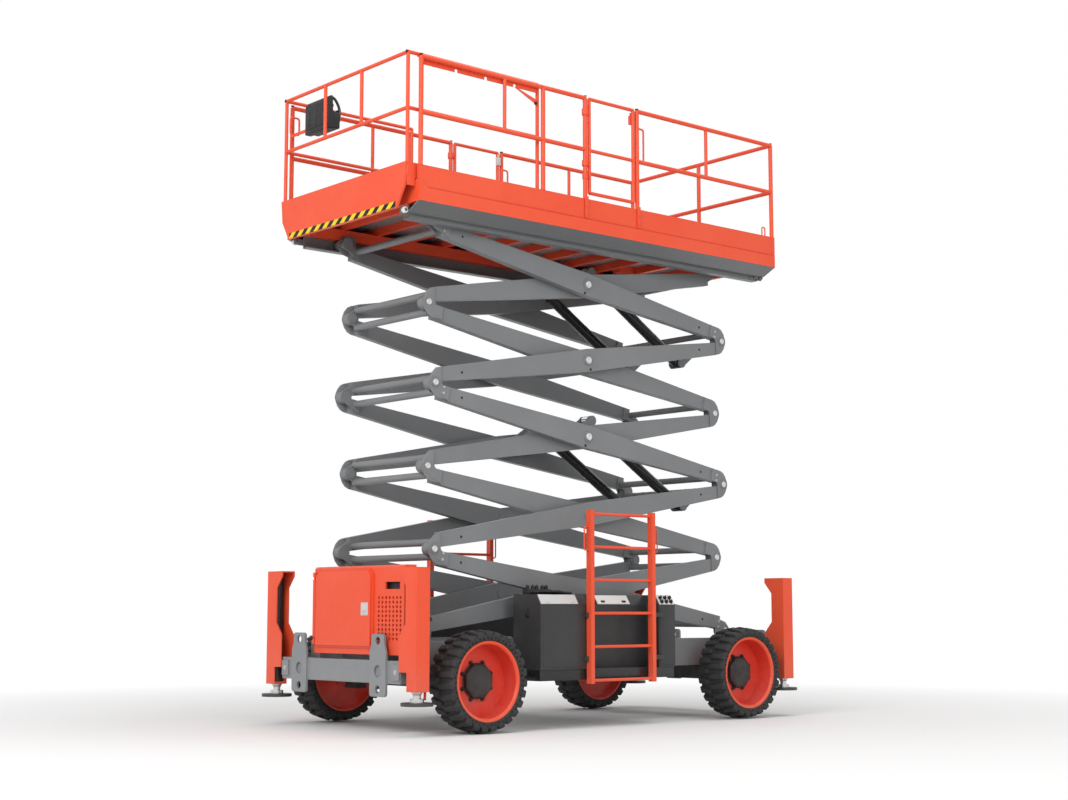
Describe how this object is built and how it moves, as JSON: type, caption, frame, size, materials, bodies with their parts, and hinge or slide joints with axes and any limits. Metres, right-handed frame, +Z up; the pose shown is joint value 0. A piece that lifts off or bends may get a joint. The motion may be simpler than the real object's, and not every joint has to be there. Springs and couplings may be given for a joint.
{
  "type": "rough-terrain scissor lift",
  "caption": "Four-wheel rough-terrain scissor lift with outriggers, a stacked scissor of paired arms and a railed platform with a roll-out deck.",
  "frame": {"origin": "on the ground, midway between the axles and between the sides", "axes": "+X to the machine front, +Y to its left, +Z up"},
  "size_m": [4.61, 2.337, 5.5885],
  "materials": {
    "frame_grey": "satin",
    "axle_iron": "matte",
    "tyre_rubber": "matte",
    "rim_paint": "gloss",
    "body_paint": "gloss",
    "cylinder_black": "gloss",
    "leg_steel": "satin",
    "rod_chrome": "polished",
    "pod_charcoal": "satin",
    "lid_silver": "satin",
    "engine_iron": "matte",
    "arm_grey": "satin",
    "deck_plate": "satin",
    "box_black": "matte"
  },
  "bodies": {
    "chassis": {"chassis_frame": "frame_grey", "front_axle": "axle_iron", "rear_axle": "axle_iron", "front_bumper": "frame_grey", "rear_bumper": "frame_grey", "front_hood": "body_paint", "outrigger_posts": "body_paint", "outrigger_jacks": "cylinder_black", "left_pod": "pod_charcoal", "left_lid": "lid_silver", "right_pod": "pod_charcoal", "engine_block": "engine_iron", "ladder": "body_paint", "ladder_right": "body_paint"},
    "hood_door": {"hood_door": "body_paint"},
    "knuckle_left": {"knuckle_left": "axle_iron"},
    "knuckle_right": {"knuckle_right": "axle_iron"},
    "tie_rod": {"tie_rod": "axle_iron"},
    "wheel_front_left": {"tyre_front_left": "tyre_rubber", "rim_front_left": "rim_paint"},
    "leg_front_left": {"outrigger_leg_front_left": "leg_steel"},
    "wheel_front_right": {"tyre_front_right": "tyre_rubber", "rim_front_right": "rim_paint"},
    "leg_front_right": {"outrigger_leg_front_right": "leg_steel"},
    "wheel_rear_left": {"tyre_rear_left": "tyre_rubber", "rim_rear_left": "rim_paint"},
    "leg_rear_left": {"outrigger_leg_rear_left": "leg_steel"},
    "wheel_rear_right": {"tyre_rear_right": "tyre_rubber", "rim_rear_right": "rim_paint"},
    "leg_rear_right": {"outrigger_leg_rear_right": "leg_steel"},
    "outer_1": {"scissor_outer_1": "arm_grey"},
    "inner_1": {"scissor_inner_1": "arm_grey"},
    "outer_2": {"scissor_outer_2": "arm_grey"},
    "inner_2": {"scissor_inner_2": "arm_grey"},
    "outer_3": {"scissor_outer_3": "arm_grey"},
    "inner_3": {"scissor_inner_3": "arm_grey"},
    "outer_4": {"scissor_outer_4": "arm_grey"},
    "inner_4": {"scissor_inner_4": "arm_grey"},
    "outer_5": {"scissor_outer_5": "arm_grey"},
    "inner_5": {"scissor_inner_5": "arm_grey"},
    "upper_barrels": {"upper_lift_barrels": "cylinder_black"},
    "upper_rods": {"upper_lift_rods": "rod_chrome"},
    "lower_barrels": {"lower_lift_barrels": "cylinder_black"},
    "lower_rods": {"lower_lift_rods": "rod_chrome"},
    "platform": {"platform_frame": "body_paint", "platform_deck": "deck_plate", "guardrail_left": "body_paint", "guardrail_right": "body_paint", "guardrail_rear": "body_paint"},
    "gate": {"gate": "body_paint"},
    "gate_right": {"gate_right": "body_paint"},
    "extension": {"extension_deck": "deck_plate", "extension_rails": "body_paint", "control_box": "box_black"}
  },
  "joints": [
    {"name": "lift", "type": "hinge", "parent": "chassis", "child": "outer_5", "pos_m": [-1.693, 0, 0.799], "axis": [0, -1, 0], "range_deg": [-7.73, 47.97]},
    {"name": "stage_4_turn", "type": "hinge", "parent": "outer_5", "child": "outer_4", "pos_m": [1.77017, 0, 1.4929], "axis": [0, 1, 0], "range_deg": [-15.46, 95.94]},
    {"name": "stage_3_turn", "type": "hinge", "parent": "outer_4", "child": "outer_3", "pos_m": [-1.693, 0, 2.18679], "axis": [0, -1, 0], "range_deg": [-15.46, 95.94]},
    {"name": "stage_2_turn", "type": "hinge", "parent": "outer_3", "child": "outer_2", "pos_m": [1.77017, 0, 2.88069], "axis": [0, 1, 0], "range_deg": [-15.46, 95.94]},
    {"name": "stage_1_turn", "type": "hinge", "parent": "outer_2", "child": "outer_1", "pos_m": [-1.693, 0, 3.57458], "axis": [0, -1, 0], "range_deg": [-15.46, 95.94]},
    {"name": "cross_5_turn", "type": "hinge", "parent": "outer_5", "child": "inner_5", "pos_m": [0.03858, 0, 1.14595], "axis": [0, 1, 0], "range_deg": [-15.46, 95.94]},
    {"name": "cross_4_turn", "type": "hinge", "parent": "outer_4", "child": "inner_4", "pos_m": [0.03858, 0, 1.83984], "axis": [0, -1, 0], "range_deg": [-15.46, 95.94]},
    {"name": "cross_3_turn", "type": "hinge", "parent": "outer_3", "child": "inner_3", "pos_m": [0.03858, 0, 2.53374], "axis": [0, 1, 0], "range_deg": [-15.46, 95.94]},
    {"name": "cross_2_turn", "type": "hinge", "parent": "outer_2", "child": "inner_2", "pos_m": [0.03858, 0, 3.22763], "axis": [0, -1, 0], "range_deg": [-15.46, 95.94]},
    {"name": "cross_1_turn", "type": "hinge", "parent": "outer_1", "child": "inner_1", "pos_m": [0.03858, 0, 3.92153], "axis": [0, 1, 0], "range_deg": [-15.46, 95.94]},
    {"name": "platform_level", "type": "hinge", "parent": "inner_1", "child": "platform", "pos_m": [-1.693, 0, 4.26848], "axis": [0, -1, 0], "range_deg": [-7.73, 47.97]},
    {"name": "upper_barrel_turn", "type": "hinge", "parent": "outer_2", "child": "upper_barrels", "pos_m": [-1.42832, 0, 3.36857], "axis": [0, -1, 0], "range_deg": [-13.91, 86.35]},
    {"name": "upper_rod_slide", "type": "slide", "parent": "upper_barrels", "child": "upper_rods", "axis": [0.8456, 0, 0.5338], "range_m": [-0.14841, 0.92096]},
    {"name": "lower_barrel_turn", "type": "hinge", "parent": "outer_4", "child": "lower_barrels", "pos_m": [-1.42832, 0, 1.98078], "axis": [0, -1, 0], "range_deg": [-13.91, 86.35]},
    {"name": "lower_rod_slide", "type": "slide", "parent": "lower_barrels", "child": "lower_rods", "axis": [0.8456, 0, 0.5338], "range_m": [-0.14841, 0.92096]},
    {"name": "steering", "type": "hinge", "parent": "chassis", "child": "knuckle_left", "pos_m": [1.547, 0.8, 0.419], "axis": [0, 0, 1], "range_deg": [-25, 25]},
    {"name": "steering_right", "type": "hinge", "parent": "chassis", "child": "knuckle_right", "pos_m": [1.547, -0.8, 0.419], "axis": [0, 0, 1], "range_deg": [-25, 25]},
    {"name": "tie_rod_turn", "type": "hinge", "parent": "knuckle_left", "child": "tie_rod", "pos_m": [1.327, 0.8, 0.419], "axis": [0, 0, -1], "range_deg": [-25, 25]},
    {"name": "wheel_front_left_spin", "type": "hinge", "parent": "knuckle_left", "child": "wheel_front_left", "pos_m": [1.547, 1.0185, 0.419], "axis": [0, 1, 0], "continuous": true},
    {"name": "wheel_front_right_spin", "type": "hinge", "parent": "knuckle_right", "child": "wheel_front_right", "pos_m": [1.547, -1.0185, 0.419], "axis": [0, 1, 0], "continuous": true},
    {"name": "wheel_rear_left_spin", "type": "hinge", "parent": "chassis", "child": "wheel_rear_left", "pos_m": [-1.547, 1.0185, 0.419], "axis": [0, 1, 0], "continuous": true},
    {"name": "wheel_rear_right_spin", "type": "hinge", "parent": "chassis", "child": "wheel_rear_right", "pos_m": [-1.547, -1.0185, 0.419], "axis": [0, 1, 0], "continuous": true},
    {"name": "outrigger_front_left_slide", "type": "slide", "parent": "chassis", "child": "leg_front_left", "axis": [0, 0, -1], "range_m": [0, 0.5]},
    {"name": "outrigger_front_right_slide", "type": "slide", "parent": "chassis", "child": "leg_front_right", "axis": [0, 0, -1], "range_m": [0, 0.5]},
    {"name": "outrigger_rear_left_slide", "type": "slide", "parent": "chassis", "child": "leg_rear_left", "axis": [0, 0, -1], "range_m": [0, 0.5]},
    {"name": "outrigger_rear_right_slide", "type": "slide", "parent": "chassis", "child": "leg_rear_right", "axis": [0, 0, -1], "range_m": [0, 0.5]},
    {"name": "extension_slide", "type": "slide", "parent": "platform", "child": "extension", "axis": [1, 0, 0], "range_m": [0, 1.5]},
    {"name": "gate_swing", "type": "hinge", "parent": "platform", "child": "gate", "pos_m": [0.325, 0.981, 5.16848], "axis": [0, 0, 1], "range_deg": [0, 90]},
    {"name": "gate_right_swing", "type": "hinge", "parent": "platform", "child": "gate_right", "pos_m": [0.325, -0.981, 5.16848], "axis": [0, 0, -1], "range_deg": [0, 90]},
    {"name": "hood_door_swing", "type": "hinge", "parent": "chassis", "child": "hood_door", "pos_m": [2.2055, -0.405, 1], "axis": [0, 0, -1], "range_deg": [0, 90]}
  ],
  "couplings": [
    {"joint": "stage_4_turn", "follows": "lift", "ratio": 2},
    {"joint": "stage_3_turn", "follows": "lift", "ratio": 2},
    {"joint": "stage_2_turn", "follows": "lift", "ratio": 2},
    {"joint": "stage_1_turn", "follows": "lift", "ratio": 2},
    {"joint": "cross_5_turn", "follows": "lift", "ratio": 2},
    {"joint": "cross_4_turn", "follows": "lift", "ratio": 2},
    {"joint": "cross_3_turn", "follows": "lift", "ratio": 2},
    {"joint": "cross_2_turn", "follows": "lift", "ratio": 2},
    {"joint": "cross_1_turn", "follows": "lift", "ratio": 2},
    {"joint": "platform_level", "follows": "lift", "ratio": 1},
    {"joint": "upper_barrel_turn", "follows": "lift", "ratio": 1.8},
    {"joint": "upper_rod_slide", "follows": "lift", "m_per_rad": 1.1},
    {"joint": "lower_barrel_turn", "follows": "lift", "ratio": 1.8},
    {"joint": "lower_rod_slide", "follows": "lift", "m_per_rad": 1.1},
    {"joint": "steering_right", "follows": "steering", "ratio": 1},
    {"joint": "tie_rod_turn", "follows": "steering", "ratio": 1}
  ]
}
